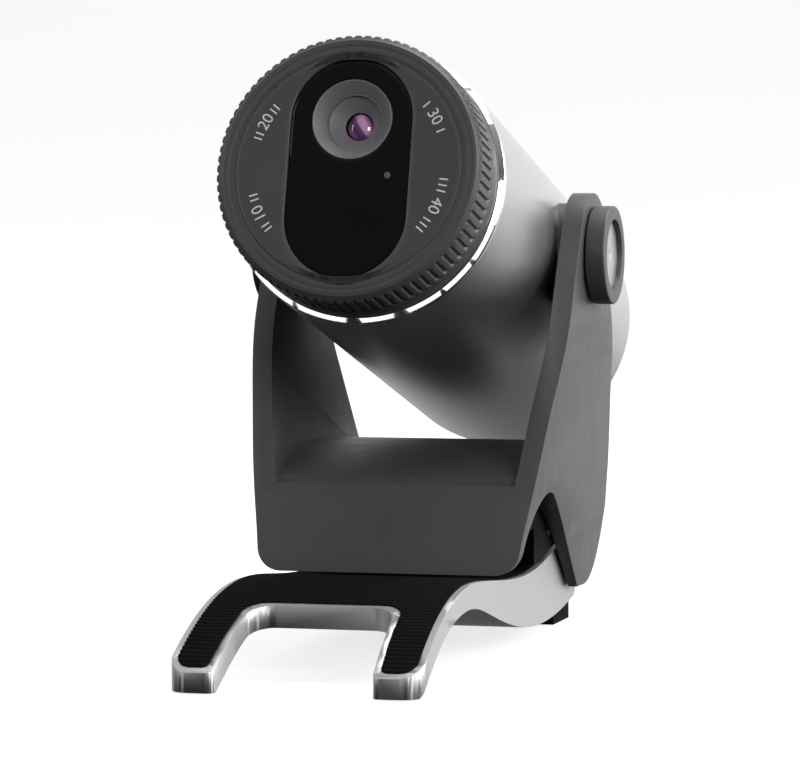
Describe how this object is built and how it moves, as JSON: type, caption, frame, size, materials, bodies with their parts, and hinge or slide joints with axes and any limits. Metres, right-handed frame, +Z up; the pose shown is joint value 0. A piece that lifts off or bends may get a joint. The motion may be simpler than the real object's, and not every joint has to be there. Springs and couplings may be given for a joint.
{
  "type": "clip-on conference camera",
  "caption": "Tubular conference camera on side pivots in a leaning yoke, with a knurled grip ring that turns a lens shutter and a hinged forked stand that also grips a display edge.",
  "frame": {"origin": "on the floor plane, at the middle of the bounding box across and along the object", "axes": "the lens looks towards -Y, +X is the object's left-hand side as it faces out, which is on the right when it is seen from the front, +Z is up"},
  "size_m": [0.065, 0.1518, 0.1058],
  "materials": {
    "silver_body": "satin bead-blasted",
    "silver_stand": "satin painted casting",
    "silver_inlay": "fine turned",
    "dark_frame": "dark grey anodised, satin",
    "dark_caps": "dark grey anodised, satin",
    "dark_plastic": "fine matt",
    "black_plastic": "matt",
    "black_gloss": "high gloss",
    "grey_plastic": "matt",
    "chrome_trim": "polished",
    "rubber_black": "matt",
    "lens_metal": "black anodised",
    "lens_glass": "coated, violet reflection",
    "filter_glass": "polished",
    "clear_plastic": "clear",
    "board_green": "solder mask",
    "chip_black": "moulded package",
    "heat_metal": "as extruded",
    "cable_amber": "film",
    "steel": "zinc plated"
  },
  "bodies": {
    "stand": {"stand_frame": "silver_stand", "stand_pad": "rubber_black", "rear_foot": "rubber_black", "foot_screws": "steel", "hinge_pin": "steel", "hinge_washers": "steel"},
    "yoke": {"yoke_frame": "dark_frame", "arm_bushings": "black_plastic", "hinge_block": "black_plastic", "block_screws": "steel", "block_pins": "steel", "channel_pad": "rubber_black"},
    "head": {"barrel_shell": "silver_body", "trim_ring": "chrome_trim", "front_core": "black_plastic", "grip_damper": "rubber_black", "face_disc": "dark_plastic", "face_screws": "steel", "window_panel": "black_gloss", "light_pipe": "clear_plastic", "lens_hood": "grey_plastic", "lens_barrel": "lens_metal", "front_lens": "lens_glass", "lens_spacer": "lens_metal", "rear_lens": "lens_glass", "lens_holder": "black_plastic", "ir_filter": "filter_glass", "image_sensor": "chip_black", "sensor_board": "board_green", "sensor_board_screws": "steel", "status_lamp": "clear_plastic", "electronics_tray": "black_plastic", "main_board": "board_green", "main_board_screws": "steel", "image_processor": "chip_black", "heat_sink": "heat_metal", "ribbon_connectors": "cable_amber", "ribbon_cable": "cable_amber", "usb_socket": "steel", "rear_cover": "black_plastic", "rear_cover_screws": "steel", "pivot_mounts": "dark_plastic", "pivot_bolts": "steel", "friction_washers": "black_plastic", "knob_caps": "dark_caps", "knob_inlays": "silver_inlay"},
    "grip": {"grip_ring": "dark_plastic", "shutter_disc": "black_plastic"}
  },
  "joints": [
    {"name": "stand_hinge", "type": "hinge", "parent": "stand", "child": "yoke", "pos_m": [0, 0.03169, 0.0125], "axis": [-1, 0, 0], "range_deg": [0, 95]},
    {"name": "head_tilt", "type": "hinge", "parent": "yoke", "child": "head", "pos_m": [0, 0.01569, 0.0682], "axis": [-1, 0, 0], "range_deg": [-35.5, 6.2]},
    {"name": "shutter_turn", "type": "hinge", "parent": "head", "child": "grip", "pos_m": [0, -0.03744, 0.08243], "axis": [0, 0.9659, -0.2588], "range_deg": [0, 75]}
  ]
}
